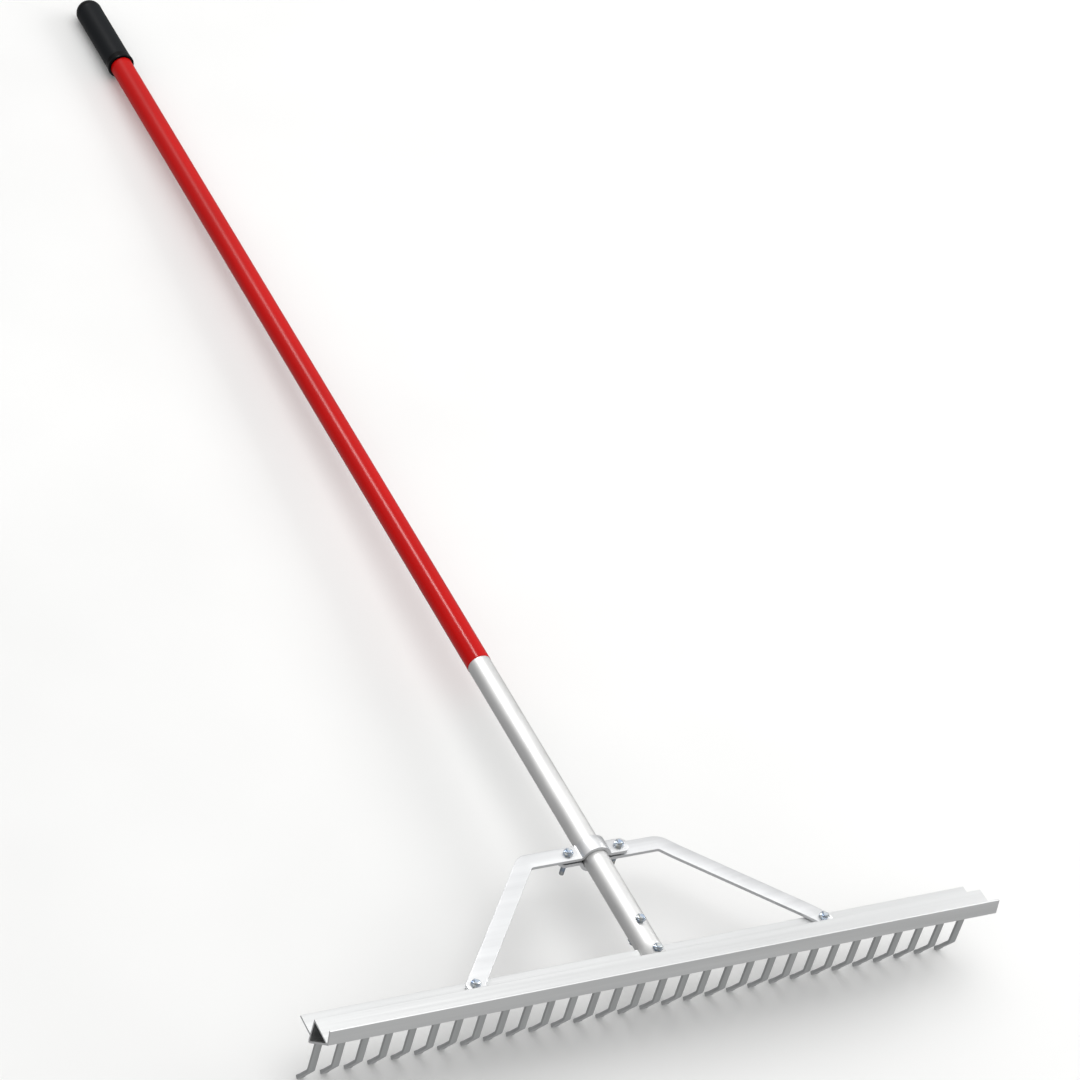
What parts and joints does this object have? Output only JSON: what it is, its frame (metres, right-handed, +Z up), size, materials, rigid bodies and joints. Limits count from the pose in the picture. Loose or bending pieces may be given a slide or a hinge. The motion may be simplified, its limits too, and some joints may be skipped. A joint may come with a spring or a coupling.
{
  "type": "landscape rake",
  "caption": "Wide aluminium landscape rake: hollow triangular head with bent tines, clamped braces, tube handle with red vinyl sleeve and black end grip.",
  "frame": {"origin": "on the ground under the middle of the bounding box of the rake as it lies on its tine toes and grip end", "axes": "+X along the head, +Y from the head towards the grip, level with the ground, +Z up"},
  "size_m": [0.9144, 2.0402, 0.1274],
  "materials": {
    "mill_aluminium": "mill finish extrusion, faint lengthwise die lines",
    "satin_tube": "satin drawn tube",
    "red_vinyl": "glossy shrunk sleeve",
    "black_vinyl": "satin dipped vinyl",
    "zinc_steel": "bright zinc plate"
  },
  "bodies": {
    "root": {"rake_head": "mill_aluminium", "tine_01": "mill_aluminium", "tine_02": "mill_aluminium", "tine_03": "mill_aluminium", "tine_04": "mill_aluminium", "tine_05": "mill_aluminium", "tine_06": "mill_aluminium", "tine_07": "mill_aluminium", "tine_08": "mill_aluminium", "tine_09": "mill_aluminium", "tine_10": "mill_aluminium", "tine_11": "mill_aluminium", "tine_12": "mill_aluminium", "tine_13": "mill_aluminium", "tine_14": "mill_aluminium", "tine_15": "mill_aluminium", "tine_16": "mill_aluminium", "tine_17": "mill_aluminium", "tine_18": "mill_aluminium", "tine_19": "mill_aluminium", "tine_20": "mill_aluminium", "tine_21": "mill_aluminium", "tine_22": "mill_aluminium", "tine_23": "mill_aluminium", "tine_24": "mill_aluminium", "tine_25": "mill_aluminium", "tine_26": "mill_aluminium", "tine_27": "mill_aluminium", "tine_28": "mill_aluminium", "tine_29": "mill_aluminium", "tine_30": "mill_aluminium", "handle_tube": "satin_tube", "handle_insert": "mill_aluminium", "handle_sleeve": "red_vinyl", "hand_grip": "black_vinyl", "left_brace": "mill_aluminium", "right_brace": "mill_aluminium", "brace_end_left_bolt": "zinc_steel", "brace_end_left_nut": "zinc_steel", "brace_end_right_bolt": "zinc_steel", "brace_end_right_nut": "zinc_steel", "clamp_left_bolt": "zinc_steel", "clamp_left_nut": "zinc_steel", "clamp_right_bolt": "zinc_steel", "clamp_right_nut": "zinc_steel", "handle_lower_bolt": "zinc_steel", "handle_lower_nut": "zinc_steel", "handle_upper_bolt": "zinc_steel", "handle_upper_nut": "zinc_steel"}
  },
  "joints": []
}
